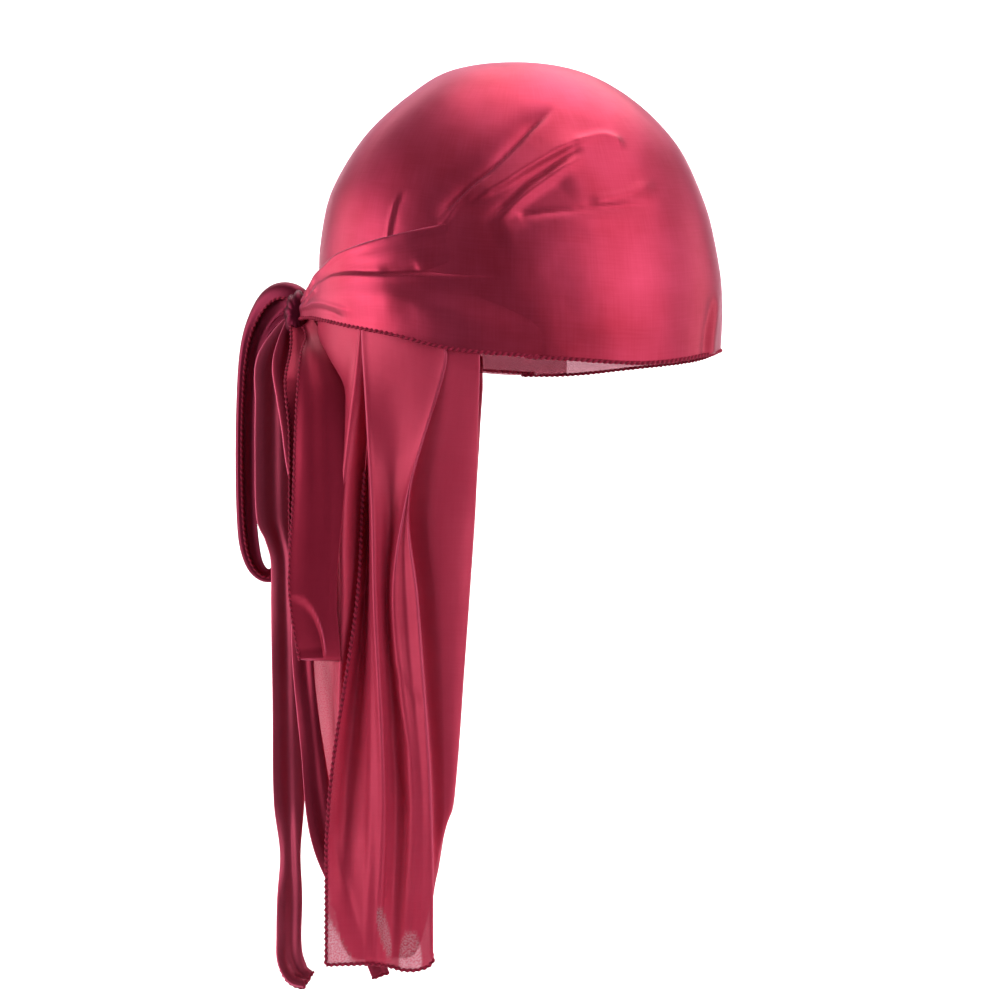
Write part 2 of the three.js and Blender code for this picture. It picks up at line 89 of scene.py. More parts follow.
CROWN_CREASES = [
    # rise in mm, width above and below its line in mm, sharpness (1 a crease, 2 a soft fold),
    # and the line as (mm ahead of the mouth's middle, mm above its level)
    (-3.0, 4.6, 1.4, 1.1, [
        (-41.7, 63.6), (-34.7, 70.4), (-26.9, 78), (-20.4, 83.7), (-13.9, 88.9), (-8.1, 94.9),
        (-2.3, 101.2), (3.1, 107.8), (8, 112.5), (13, 117), (17, 121),
    ]),
    (0.9, 0.9, 1.4, 1.5, [
        (-39.5, 60), (-35.3, 63.6), (-32.4, 68.3), (-29.1, 72.7), (-23.5, 78.7), (-18, 83),
    ]),
    (2.6, 7.0, 1.2, 1.2, [
        (-26, 71), (-15.6, 76.5), (-6.4, 81.9), (0.6, 86.7), (7.7, 91.3), (14.9, 95.7), (22.1, 99.7),
        (29.3, 103.4), (38, 107),
    ]),
    (-1.5, 4.0, 1.1, 1.3, [
        (-18, 62), (-7.2, 71.4), (-1.7, 77.3), (3.3, 81.9), (10.7, 87.3), (17.8, 92.7), (25, 97),
        (34, 102),
    ]),
    (1.5, 1.3, 3.2, 1.4, [
        (-15, 61), (-5.1, 69.3), (0.6, 74.7), (5.5, 78.8), (12.1, 83.7), (19.3, 89.1), (26.3, 93.2),
        (34, 98),
    ]),
    (-0.9, 3.0, 9.0, 1.8, [(-8, 61), (4.3, 71.3), (11.2, 76.7), (18.3, 81.8), (26, 86)]),
    (1.1, 2.0, 3.6, 1.6, [
        (24, 101), (29.3, 103.4), (35.1, 105.9), (40.2, 106.7), (44.7, 105.5), (47.4, 102.9), (50, 99),
    ]),
    (-1.0, 1.2, 3.0, 1.3, [
        (-2, 66), (2.5, 66.8), (14.5, 68.2), (25.3, 69.3), (35.9, 70.5), (46.9, 71.5), (58.7, 73.6),
        (68, 77),
    ]),
    (0.9, 3.4, 2.4, 2, [(32, 72), (47.9, 76.5), (56.9, 80), (66, 84)]),
    (0.7, 6.0, 6.0, 2, [(-12.9, 53.4), (1.6, 58.3), (16, 62.7), (37.1, 62.4), (66.5, 59.7)]),
    (-0.6, 0.8, 2.4, 1.2, [
        (-62.4, 54), (-61.7, 58.3), (-60.4, 65.8), (-59, 71.6), (-57.5, 75.1), (-55.4, 79.4),
    ]),
    (1.0, 1.0, 1.0, 2, [
        (-63.4, 54), (-62.7, 58.3), (-61.4, 65.8), (-60, 71.6), (-58.5, 75.1), (-56.4, 79.4),
    ]),
    (-0.9, 2.0, 2.0, 1.4, [(89, -2), (90, 12), (92.5, 24.5), (95, 34)]),
    (1.2, 2.0, 3.0, 2, [(92.5, -2), (93.5, 12), (96, 24.5), (98, 34)]),
]


def read_table(rows, at):
    """A cubic through a table's rows. The first column says where each row stands."""
    rows = np.array(rows, float)
    at = np.asarray(at, float)
    key = rows[:, 0]
    slope = np.empty_like(rows)
    slope[1:-1] = (rows[2:] - rows[:-2]) / (key[2:] - key[:-2])[:, None]
    slope[0] = (rows[1] - rows[0]) / (key[1] - key[0])
    slope[-1] = (rows[-1] - rows[-2]) / (key[-1] - key[-2])
    i = np.clip(np.searchsorted(key, at, side="right") - 1, 0, len(key) - 2)
    span = (key[i + 1] - key[i])[..., None]
    s = np.clip((at[..., None] - key[i][..., None]) / span, 0, 1)
    rise = (rows[i + 1] - rows[i]) * s * s * (3 - 2 * s)
    bend = s * (1 - s) ** 2 * span * slope[i] + s * s * (s - 1) * span * slope[i + 1]
    return np.moveaxis(rows[i] + rise + bend, -1, 0)


def smooth(low, high, x):
    """0 below low, 1 above high, and a soft step between. It runs down when high is the lower."""
    s = np.clip((x - low) / (high - low), 0, 1)
    return s * s * (3 - 2 * s)


def unit(v):
    return v / np.maximum(np.linalg.norm(v, axis=-1, keepdims=True), 1e-9)


def crown_edge(turn):
    return read_table(CROWN_EDGE, turn - np.floor(turn))[1] * CROWN_HEIGHT


def crown_point(turn, fall):
    """A point of the crown's plain form."""
    angle = 2 * np.pi * turn
    along = np.sign(np.cos(angle)) * np.abs(np.cos(angle)) ** (2 / PLAN_POWER)
    across = np.sign(np.sin(angle)) * np.abs(np.sin(angle)) ** (2 / PLAN_POWER)
    _, height, front, side, back = read_table(CROWN_LEVELS, fall)
    reach = np.where(along > 0, -CROWN_FRONT * front, -CROWN_BACK * back)
    edge = crown_edge(turn)
    x = -HALF_WIDTH * side * across
    y = reach * along + WIDEST_SHIFT * side * across * across
    return np.stack([x, y, edge + height * (CROWN_HEIGHT - edge)], -1)


def crown_normal(turn, fall, step=0.004):
    around = crown_point(turn + step, fall) - crown_point(turn - step, fall)
    down = crown_point(turn, fall + step) - crown_point(turn, fall - step)
    return unit(np.cross(around, down))


def crease_relief(ahead, level, creases):
    """Height of creases over a surface, at places given in mm along it and up it."""
    LINE_POINTS = 70
    total = np.zeros_like(ahead)
    for rise, above, below, sharpness, line in creases:
        key = np.linspace(0, 1, len(line))
        path = read_table(np.column_stack([key, line]), np.linspace(0, 1, LINE_POINTS))[1:]
        reach = 3 * max(above, below)
        near = (ahead > path[0].min() - reach) & (ahead < path[0].max() + reach)
        near &= (level > path[1].min() - reach) & (level < path[1].max() + reach)
        along, up = ahead[near][:, None] - path[0], level[near][:, None] - path[1]
        i = (along**2 + up**2).argmin(1)
        gap = np.hypot(*np.gradient(path, axis=1))
        way = np.gradient(path, axis=1) / gap
        pick = np.arange(len(i))
        aside = up[pick, i] * way[0][i] - along[pick, i] * way[1][i]
        past = along[pick, i] * way[0][i] + up[pick, i] * way[1][i]
        share = (i + past / gap[i]) / (LINE_POINTS - 1)
        fade = smooth(-0.01, 0.14, share) * (1 - smooth(0.7, 1.0, share)) * np.exp(-((past / 4) ** 2))
        width = np.where(aside > 0, above, below)
        total[near] += rise * fade * np.exp(-(np.abs(aside / width) ** sharpness))
    return total


def crown_relief(point):
    """Folds and slow unevenness of the crown's cloth, in mm out of its plain form."""
    side = smooth(0.12, 0.42, np.abs(point[..., 0]) / HALF_WIDTH)
    folds = crease_relief(-point[..., 1], point[..., 2], CROWN_CREASES) * side
    uneven = slow_waves(point[..., 1] / 45, point[..., 2] / 34 + point[..., 0] / 60, 3) * 0.3
    return folds + uneven * smooth(0, 0.5, 1 - point[..., 2] / CROWN_HEIGHT)


def slow_waves(a, b, seed, count=6):
    """Soft irregular waves from -1 to 1 over two coordinates that are given in wavelengths."""
    random = np.random.default_rng(seed)
    total = 0
    for _ in range(count):
        way, phase = random.uniform(0, 2 * np.pi, 2)
        stretch = random.uniform(0.6, 1.7)
        total = total + np.sin(2 * np.pi * stretch * (a * np.cos(way) + b * np.sin(way)) + phase)
    return total / count


def linear(hex_colour):
    """A linear RGBA colour from an sRGB hex value."""
    parts = [((hex_colour >> shift) & 255) / 255 for shift in (16, 8, 0)]
    return [c / 12.92 if c <= 0.04045 else ((c + 0.055) / 1.055) ** 2.4 for c in parts] + [1]


def add_node(tree, kind, inputs=None, **settings):
    """Adds one shader node. An input is a value, or the (node, output) that feeds it."""
    made = tree.nodes.new(kind)
    for name, value in settings.items():
        setattr(made, name, value)
    for name, value in (inputs or {}).items():
        if isinstance(value, tuple) and isinstance(value[0], bpy.types.Node):
            tree.links.new(value[0].outputs[value[1]], made.inputs[name])
        else:
            made.inputs[name].default_value = value
    return made


def satin(
    name,
    shade=0x981D32,
    light=0xD44C70,
    see_through=0.03,
    glow=0.05,
    shine=0.85,
    haze=0.04,
    thin_left=0,
    seam=False,
    sheer=False,
):
    """Woven polyester satin: its floating threads give it a coloured, almost metallic sheen with
    faint streaks both ways, and where one layer hangs alone the light comes through the weave,
    which is also painted there as pale speckles. Tight outward folds get a painted highlight.
    The UV map is in metres of cloth, with U along the weft and V along the warp. Real threads are
    about 0.1 mm, and are drawn at 0.8 mm so that they show."""
    THREAD = 0.0008
    STREAK = 0.018
    CRUMPLE = 0.016
    CLOUD = 0.05
    SPECKLE = 0.0007
    SEAM_HALF_WIDTH = 0.0009
    made = bpy.data.materials.new(name)
    made.use_nodes = True
    tree = made.node_tree
    tree.nodes.clear()
    cloth = add_node(tree, "ShaderNodeUVMap", uv_map="cloth")
    place = add_node(tree, "ShaderNodeTexCoord")

    def noise(vector, size, detail):
        inputs = {"Vector": vector, "Scale": 1 / size, "Detail": detail}
        return add_node(tree, "ShaderNodeTexNoise", inputs)

    def threads(across, along):
        scale = (1 / across, 1 / along, 1)
        scaled = add_node(tree, "ShaderNodeMapping", {"Vector": (cloth, 0), "Scale": scale})
        return noise((scaled, 0), 1.0, 2.0)

    def blend(factor, first, second):
        inputs = {"Factor": factor, "A": first, "B": second}
        return add_node(tree, "ShaderNodeMix", inputs, data_type="RGBA")

    warp = threads(THREAD, STREAK)
    weft = threads(STREAK, THREAD)
    cloud = noise((place, "Object"), CLOUD, 3.0)
    crumple = noise((place, "Object"), CRUMPLE, 2.0)
    both = add_node(tree, "ShaderNodeMath", {0: (warp, 0), 1: (weft, 0)}, operation="ADD")
    shares = {0: (both, 0), 1: 0.22, 2: (cloud, 0)}
    mixed = add_node(tree, "ShaderNodeMath", shares, operation="MULTIPLY_ADD")
    tone = add_node(
        tree, "ShaderNodeMapRange", {"Value": (mixed, 0), "From Min": 0.4, "From Max": 1.45}
    )
    colour = blend((tone, 0), linear(shade), linear(light))
    # Tight outward folds are mixed towards a lighter pink: a painted highlight along the fold edges.
    crest = add_node(tree, "ShaderNodeAttribute", attribute_name="crest")
    lift = add_node(tree, "ShaderNodeMath", {0: (crest, 2), 1: 0.55}, operation="MULTIPLY")
    colour = blend((lift, 0), (colour, 2), linear(0xE86488))
    # Where one layer hangs alone the colour is also painted pale in speckles: painted light coming
    # through, beside the real see-through share set below.
    if sheer:
        single = add_node(tree, "ShaderNodeAttribute", attribute_name="sheer")
        speckle = noise((cloth, 0), SPECKLE, 1.0)
        paler = add_node(
            tree,
            "ShaderNodeMapRange",
            {"Value": (speckle, 0), "From Min": 0.35, "From Max": 0.65, "To Min": 0.2},
        )
        shares = {0: (single, 2), 1: (paler, 0)}
        faded = add_node(tree, "ShaderNodeMath", shares, operation="MULTIPLY")
        colour = blend((faded, 0), (colour, 2), linear(0xDCA4B0))
    fine = add_node(
        tree, "ShaderNodeBump", {"Height": (both, 0), "Strength": 0.12, "Distance": 0.00005}
    )
    surface = add_node(
        tree,
        "ShaderNodeBump",
        {"Height": (crumple, 0), "Strength": 0.5, "Distance": 0.0006, "Normal": (fine, 0)},
    )
    parts = add_node(tree, "ShaderNodeSeparateXYZ", {"Vector": (place, "Object")})
    if seam:
        off = add_node(tree, "ShaderNodeMath", {0: (parts, 0)}, operation="ABSOLUTE")
        groove = add_node(
            tree,
            "ShaderNodeMapRange",
            {"Value": (off, 0), "From Max": SEAM_HALF_WIDTH},
            interpolation_type="SMOOTHSTEP",
        )
        surface = add_node(
            tree,
            "ShaderNodeBump",
            {"Height": (groove, 0), "Strength": 0.9, "Distance": 0.0007, "Normal": (surface, 0)},
        )
    grain = add_node(tree, "ShaderNodeTangent", direction_type="UV_MAP", uv_map="cloth")
    skin = add_node(
        tree,
        "ShaderNodeBsdfPrincipled",
        {
            "Base Color": (colour, 2),
            "Metallic": shine,
            "Roughness": 0.5,
            "Anisotropic": 0.25,
            "Anisotropic Rotation": 0.25,
            "Tangent": (grain, 0),
            "Normal": (surface, 0),
            "Sheen Weight": haze,
            "Sheen Roughness": 0.4,
            "Sheen Tint": linear(0xFAB0E6),
            "Specular IOR Level": 0.3,
            "Coat Weight": haze / 2,
            "Coat Roughness": 0.4,
        },
    )
    through = add_node(
        tree,
        "ShaderNodeBsdfTranslucent",
        {"Color": linear(0xC02448), "Normal": (surface, 0)},
    )
    body = add_node(tree, "ShaderNodeMixShader", {0: glow, 1: (skin, 0), 2: (through, 0)})
    tint = linear(0xE4C4CC if thin_left or sheer else 0xFFC0CC)
    holes = add_node(tree, "ShaderNodeBsdfTransparent", {"Color": tint})
    cover = add_node(tree, "ShaderNodeMixShader", {0: see_through, 1: (body, 0), 2: (holes, 0)})
    if thin_left:
        far = add_node(
            tree,
            "ShaderNodeMapRange",
            {"Value": (parts, 0), "From Min": 0.01, "From Max": 0.045},
            interpolation_type="SMOOTHSTEP",
        )
        hem = add_node(
            tree,
            "ShaderNodeMapRange",
            {"Value": (parts, 2), "From Min": 0.035, "From Max": 0.008},
            interpolation_type="SMOOTHSTEP",
        )
        thin = add_node(tree, "ShaderNodeMath", {0: (far, 0), 1: (hem, 0)}, operation="MULTIPLY")
        reach = {"Value": (thin, 0), "To Min": see_through, "To Max": thin_left}
        share = add_node(tree, "ShaderNodeMapRange", reach)
        tree.links.new(share.outputs[0], cover.inputs[0])
    if sheer:
        reach = {"Factor": (single, 2), "A": see_through, "B": 0.5}
        share = add_node(tree, "ShaderNodeMix", reach)
        tree.links.new(share.outputs[0], cover.inputs[0])
    add_node(tree, "ShaderNodeOutputMaterial", {"Surface": (cover, 0)})
    return made


def make_mesh(name, points, faces, cloth, material, marks=None):
    """One smooth mesh from points in millimetres, quads or triangles, and a UV in metres a point."""
    mesh = bpy.data.meshes.new(name)
    sizes = np.concatenate([np.full(len(f), f.shape[1]) for f in faces])
    corners = np.concatenate([f.ravel() for f in faces]).astype(np.int32)
    mesh.vertices.add(len(points))
    mesh.vertices.foreach_set("co", (points / 1000).astype(np.float32).ravel())
    mesh.loops.add(len(corners))
    mesh.loops.foreach_set("vertex_index", corners)
    mesh.polygons.add(len(sizes))
    mesh.polygons.foreach_set("loop_start", (np.cumsum(sizes) - sizes).astype(np.int32))
    mesh.polygons.foreach_set("use_smooth", np.ones(len(sizes), bool))
    layer = mesh.uv_layers.new(name="cloth")
    layer.data.foreach_set("uv", cloth[corners].astype(np.float32).ravel())
    for mark, values in (marks or {}).items():
        layer = mesh.attributes.new(mark, "FLOAT", "POINT")
        layer.data.foreach_set("value", values.astype(np.float32).ravel())
    mesh.update(calc_edges=True)
    mesh.validate()
    mesh.materials.append(material)
    piece = bpy.data.objects.new(name, mesh)
    bpy.context.scene.collection.objects.link(piece)
    return piece


def quads(ids, wrap=False):
    """Quads between the rows and columns of a grid of point numbers."""
    if wrap:
        ids = np.concatenate([ids, ids[:, :1]], 1)
    return np.stack([ids[:-1, :-1], ids[:-1, 1:], ids[1:, 1:], ids[1:, :-1]], -1).reshape(-1, 4)


def crown_cloth(columns, rows, offset, first):
    """The points, faces and UV of one face of the crown. Its first point is the top."""
    fall = np.linspace(0, 1, rows + 1)[1:, None] * np.ones(columns)
    turn = np.ones((rows, 1)) * np.arange(columns) / columns
    turn = turn + 0.04 * np.sin(4 * np.pi * turn)
    plain = crown_point(turn, fall)
    out = crown_normal(turn, np.clip(fall, 0.01, 0.99))
    grid = plain + out * (crown_relief(plain) + offset)[..., None]
    top = np.array([[0, 0, CROWN_HEIGHT + offset]])
    ids = first + 1 + np.arange(rows * columns).reshape(rows, columns)
    round_ids = np.concatenate([ids[0], ids[0][:1]])
    fan = np.stack([np.full(columns, first), round_ids[1:], round_ids[:-1]], -1)
    girth = 2 * np.pi * CROWN_MEAN_RADIUS / 1000
    cloth = np.stack([turn * girth, -fall * CROWN_ARC], -1).reshape(-1, 2)
    cloth = np.concatenate([[[0, 0]], cloth])
    return np.concatenate([top, grid.reshape(-1, 3)]), ids, fan, cloth


# The outer face has three columns for each one of the inner face.
outer, outer_ids, outer_fan, outer_uv = crown_cloth(columns=420, rows=190, offset=0, first=0)
inner, inner_ids, inner_fan, inner_uv = crown_cloth(
    columns=140, rows=60, offset=-CROWN_CLOTH, first=len(outer)
)
low, high = outer_ids[-1], inner_ids[-1]
rim = []
for i in range(len(high)):
    j = (i + 1) % len(high)
    a, b, c, d = (low[(3 * i + k) % len(low)] for k in range(4))
    rim += [(a, b, high[i]), (b, c, high[j]), (b, high[j], high[i]), (c, d, high[j])]
crown = make_mesh(
    "crown_cloth",
    np.concatenate([outer, inner]),
    [
        quads(outer_ids, True)[:, ::-1],
        outer_fan,
        quads(inner_ids, True),
        inner_fan[:, ::-1],
        np.array(rim)[:, ::-1],
    ],
    np.concatenate([outer_uv, inner_uv]),
    satin("crown_satin", shine=0.9, haze=0.18, thin_left=0.6, seam=True),
)
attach(crown, "root")
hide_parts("crown")


# Overlocked edges: a rolled edge wound with close stitches of darker thread, like a fine rope.
def thread_material():
    """Thread wound round the edge. U counts the turns of the winding, V is metres along."""
    made = bpy.data.materials.new("overlock_thread")
    made.use_nodes = True
    tree = made.node_tree
    tree.nodes.clear()
    wound = add_node(tree, "ShaderNodeUVMap", uv_map="cloth")
    parts = add_node(tree, "ShaderNodeSeparateXYZ", {"Vector": (wound, 0)})
    # The thread's colour runs darker where the winding dips in and lighter where it swells: painted
    # shade in the grooves and a painted highlight on the ridges, over the thread's own dark crimson and
    # fuzz.
    turns = add_node(tree, "ShaderNodeMath", {0: (parts, 0), 1: 2 * math.pi}, operation="MULTIPLY")
    groove_shade = add_node(tree, "ShaderNodeMath", {0: (turns, 0)}, operation="SINE")
    strands = add_node(tree, "ShaderNodeMapping", {"Vector": (wound, 0), "Scale": (5, 1 / 0.002, 1)})
    fuzz = add_node(tree, "ShaderNodeTexNoise", {"Vector": (strands, 0), "Scale": 1.0, "Detail": 2.0})
    shares = {0: (groove_shade, 0), 1: 0.32, 2: (fuzz, 0)}
    mixed = add_node(tree, "ShaderNodeMath", shares, operation="MULTIPLY_ADD")
    shades = {"Factor": (mixed, 0), "A": linear(0x500A1C), "B": linear(0x98203C)}
    colour = add_node(tree, "ShaderNodeMix", shades, data_type="RGBA")
    bump = add_node(tree, "ShaderNodeBump", {"Height": (fuzz, 0), "Strength": 0.4, "Distance": 0.0001})
    skin = add_node(
        tree,
        "ShaderNodeBsdfPrincipled",
        {
            "Base Color": (colour, 2),
            "Roughness": 0.75,
            "Normal": (bump, 0),
            "Specular IOR Level": 0.12,
        },
    )
    add_node(tree, "ShaderNodeOutputMaterial", {"Surface": (skin, 0)})
    return made


OVERLOCK_THREAD = thread_material()
STITCH_PITCH = 2.8
OVERLOCK_RADIUS = 1.0


def overlock(name, line, radius=OVERLOCK_RADIUS):
    """A rolled, thread-wound edge along a line of points."""
    STEPS = 7
    SIDES = 8
    gaps = np.linalg.norm(np.diff(line, axis=0), axis=1)
    place = np.concatenate([[0], np.cumsum(gaps)])
    count = int(place[-1] / STITCH_PITCH * STEPS)
    at = np.linspace(0, place[-1], count + 1)
    path = np.stack([np.interp(at, place, line[:, k]) for k in range(3)], -1)
    ahead = unit(np.gradient(path, axis=0))
    up = np.empty_like(path)
    up[0] = unit(np.cross(ahead[0], [0.31, 0.52, 0.79]))
    for i in range(1, len(path)):
        up[i] = unit(up[i - 1] - ahead[i] * (up[i - 1] @ ahead[i]))
    side = np.cross(ahead, up)
    angle = np.arange(SIDES) / SIDES * 2 * np.pi
    wind = 2 * np.pi * at[:, None] / STITCH_PITCH + angle[None]
    uneven = 1 + 0.12 * slow_waves(at / 9, at / 14, 8)
    girth = radius * uneven[:, None] * (0.84 + 0.26 * np.sin(wind))
    girth = girth * (np.minimum(np.arange(count + 1), np.arange(count + 1)[::-1]) > 0)[:, None]
    points = path[:, None] + girth[..., None] * (
        np.cos(angle)[None, :, None] * up[:, None] + np.sin(angle)[None, :, None] * side[:, None]
    )
    ids = np.arange((count + 1) * SIDES).reshape(count + 1, SIDES)
    cloth = np.stack([wind / (2 * np.pi), at[:, None] / 1000 + 0 * angle], -1).reshape(-1, 2)
    edge = make_mesh(name, points.reshape(-1, 3), [quads(ids, True)[:, ::-1]], cloth, OVERLOCK_THREAD)
    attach(edge, "root")
    return edge


# The front hem runs from ear to ear, in shares of a turn from the forehead.
FRONT_HEM = 0.236
turn = np.linspace(-FRONT_HEM, FRONT_HEM, 500)
hem_line = crown_point(turn, np.ones(500)) + crown_normal(turn, np.full(500, 0.985)) * (HEM_RISE - 0.3)
overlock("crown_hem_overlock", hem_line)


# Tail: one wide sheet of the same satin, sewn to the crown's lower back edge and hanging from it.
# Its right-hand side is folded over into long pleats, and three sides are overlocked.
TAIL_CLOTH = 0.5
TAIL_DROP = 290
TAIL_LAP = 9
LAYER_GAP = 0.35
TAIL_STATIONS = [0.224, 0.4, 0.72]
TAIL_SPREAD = 374
TAIL_FOLDS = [
    # turn, layer, then side and back (shares of the crown's half width and reach) at each
    # station down the drop and at the foot, and the foot's share of the drop
    (0.350, 0.8, -0.68, 0.745, -0.70, 0.774, -0.68, 0.905, -0.64, 0.925, 1.003),
    (0.355, 1.0, -0.62, 0.725, -0.62, 0.740, -0.58, 0.820, -0.67, 0.820, 1.0),
    (0.3635, 1.7, -0.77, 0.703, -0.755, 0.692, -0.73, 0.655, -0.66, 0.690, 1.0),
    (0.358, 1.7, -0.765, 0.685, -0.745, 0.675, -0.71, 0.635, -0.64, 0.665, 1.003),
    (0.325, 1.5, -0.71, 0.610, -0.69, 0.635, -0.64, 0.590, -0.60, 0.615, 1.008),
    (0.2885, 1.6, -0.78, 0.535, -0.745, 0.605, -0.68, 0.530, -0.60, 0.570, 1.012),
    (0.2865, 1.7, -0.785, 0.529, -0.75, 0.590, -0.70, 0.505, -0.61, 0.540, 1.013),
    (0.2863, 1.7, -0.788, 0.527, -0.735, 0.545, -0.70, 0.470, -0.62, 0.490, 1.012),
    (0.2860, 1.7, -0.79, 0.525, -0.775, 0.490, -0.72, 0.430, -0.62, 0.425, 1.0),
    (0.2870, 1.1, -0.70, 0.535, -0.69, 0.500, -0.65, 0.440, -0.585, 0.430, 0.96),
    (0.2840, 1.0, -0.70, 0.505, -0.68, 0.470, -0.62, 0.415, -0.57, 0.42, 0.9),
    (0.274, 1.0, -0.745, 0.365, -0.71, 0.375, -0.63, 0.360, -0.57, 0.39, 0.84),
    (0.2635, 0.8, -0.70, 0.220, -0.665, 0.250, -0.61, 0.316, -0.55, 0.35, 0.75),
    (0.2645, 0.1, -0.61, 0.235, -0.575, 0.275, -0.54, 0.330, -0.49, 0.38, 0.8),
    (0.300, 0, -0.56, 0.440, -0.52, 0.490, -0.50, 0.500, -0.42, 0.50, 0.985),
    (0.335, 0, -0.54, 0.580, -0.49, 0.610, -0.46, 0.620, -0.40, 0.61, 1.0),
    (0.356, 0, -0.60, 0.730, -0.58, 0.740, -0.50, 0.750, -0.40, 0.73, 1.003),
    (0.3665, 0.5, -0.73, 0.828, -0.70, 0.838, -0.56, 0.850, -0.40, 0.81, 0.998),
    (0.374, 0.4, -0.66, 0.865, -0.63, 0.870, -0.52, 0.880, -0.36, 0.85, 0.985),
    (0.392, 0, -0.42, 0.880, -0.42, 0.900, -0.34, 0.900, -0.26, 0.88, 0.955),
    (0.43, 0, -0.22, 0.970, -0.22, 1.000, -0.19, 0.970, -0.17, 0.9, 0.93),
    (0.5, 0, 0, 1.0, 0, 1.035, 0, 1.0, 0, 0.93, 0.93),
    (0.57, 0, 0.23, 0.97, 0.22, 0.99, 0.2, 0.97, 0.17, 0.9, 0.95),
    (0.615, 0, 0.42, 0.86, 0.4, 0.87, 0.35, 0.85, 0.3, 0.84, 0.95),
    (0.67, 0, 0.53, 0.61, 0.5, 0.6, 0.45, 0.6, 0.4, 0.58, 0.95),
    (0.736, 0.1, 0.61, 0.25, 0.575, 0.3, 0.53, 0.4, 0.49, 0.45, 0.79),
    (0.7345, 0.8, 0.70, 0.235, 0.665, 0.28, 0.62, 0.39, 0.59, 0.44, 0.76),
    (0.7, 1, 0.765, 0.5, 0.74, 0.5, 0.67, 0.48, 0.64, 0.47, 0.94),
    (0.685, 1.2, 0.70, 0.6, 0.68, 0.6, 0.63, 0.57, 0.59, 0.56, 0.97),
    (0.66, 1.2, 0.77, 0.72, 0.72, 0.74, 0.65, 0.69, 0.6, 0.65, 0.98),
    (0.635, 1, 0.65, 0.93, 0.6, 0.97, 0.54, 0.89, 0.5, 0.83, 0.965),
]
TAIL_SLANTS = [
    # slanting pulls in its folded side, given as the crown's creases are
    (0.6, 1.2, 5.0, 1.4, [(-62.5, -146), (-56, -155), (-50, -162), (-44, -168)]),
    (0.6, 1.2, 5.0, 1.4, [(-61.5, -157), (-58, -170), (-55, -183), (-50, -199)]),
    (0.5, 1.2, 6.0, 1.4, [(-63, -172), (-60.5, -190), (-57, -206), (-52, -224)]),
    (0.8, 1.4, 7.0, 1.4, [(-92, -222), (-87, -243), (-81, -262), (-74, -282)]),
]
TAIL_CREASES = [
    # share of the sheet's width, rise in mm to its own right side, half width in mm
    (0.0501, -1.0, 1.1),
    (0.0849, -1.0, 1.1),
    (0.1187, -0.8, 1.1),
    (0.039, -0.6, 1.2),
    (0.39, 1.0, 1.4),
]


def over_crown(turn, level, lift):
    """A point at a level over the crown, and out from its cloth by lift."""
    HALVINGS = 22
    turn, level, lift = np.broadcast_arrays(turn, level, lift)
    low = np.full(turn.shape, 0.3)
    high = np.ones(turn.shape)
    for _ in range(HALVINGS):
        middle = (low + high) / 2
        above = crown_point(turn, middle)[..., 2] > level
        low = np.where(above, middle, low)
        high = np.where(above, high, middle)
    point = crown_point(turn, low)
    out = crown_normal(turn, np.minimum(low, 0.98))
    out[..., 2] = 0
    point[..., 2] = level
    return point + unit(out) * lift[..., None]


def tail_surface(u, v):
    folds = np.array(TAIL_FOLDS)
    middles = folds[:, 4:6] * [HALF_WIDTH, CROWN_BACK]
    run = np.concatenate([[0], np.cumsum(np.linalg.norm(np.diff(middles, axis=0), axis=1))])
    at = read_table(np.column_stack([run / run[-1], folds]), u)[1:]
    turn, layer, foot = at[0], at[1], at[-1]
    lift = LAYER_GAP + TAIL_CLOTH / 2 + layer * (LAYER_GAP + TAIL_CLOTH)
    edge = crown_edge(turn)
    top = over_crown(turn, edge + TAIL_LAP, lift)
    hem = over_crown(turn, edge, lift)
    lines = [top, hem, hem - np.array([0, 0, TAIL_LAP])]
    for k, drop in enumerate([*TAIL_STATIONS, foot]):
        side, back = at[2 + 2 * k] * HALF_WIDTH, at[3 + 2 * k] * CROWN_BACK
        lines.append(np.stack([side, back, 0 * u - drop * TAIL_DROP], -1))
    lap = TAIL_LAP / TAIL_DROP
    stations = np.array([0, lap, 2 * lap, *TAIL_STATIONS, 1])
    table = np.column_stack([stations, np.reshape(lines, (len(stations), -1))])
    return np.moveaxis(read_table(table, v)[1:], 0, 1).reshape(len(v), len(u), 3)


def grid_normals(grid):
    return unit(np.cross(np.gradient(grid, axis=1), np.gradient(grid, axis=0)))


def fold_highlight_masks(grid, out):
    """How tightly each face of a sheet bends outward, from 0 (flat or hollow) to 1 (a pressed fold).
    The satin paints a highlight where it is high.
    """
    bends = []
    for axis in (0, 1):
        gap = np.linalg.norm(np.gradient(grid, axis=axis), axis=-1)
        second = np.gradient(np.gradient(grid, axis=axis), axis=axis)
        bends.append((second * out).sum(-1) / np.maximum(gap, 0.05) ** 2)
    return [smooth(0.5, 1.5, np.maximum(way * bends[0], way * bends[1])) for way in (-1, 1)]


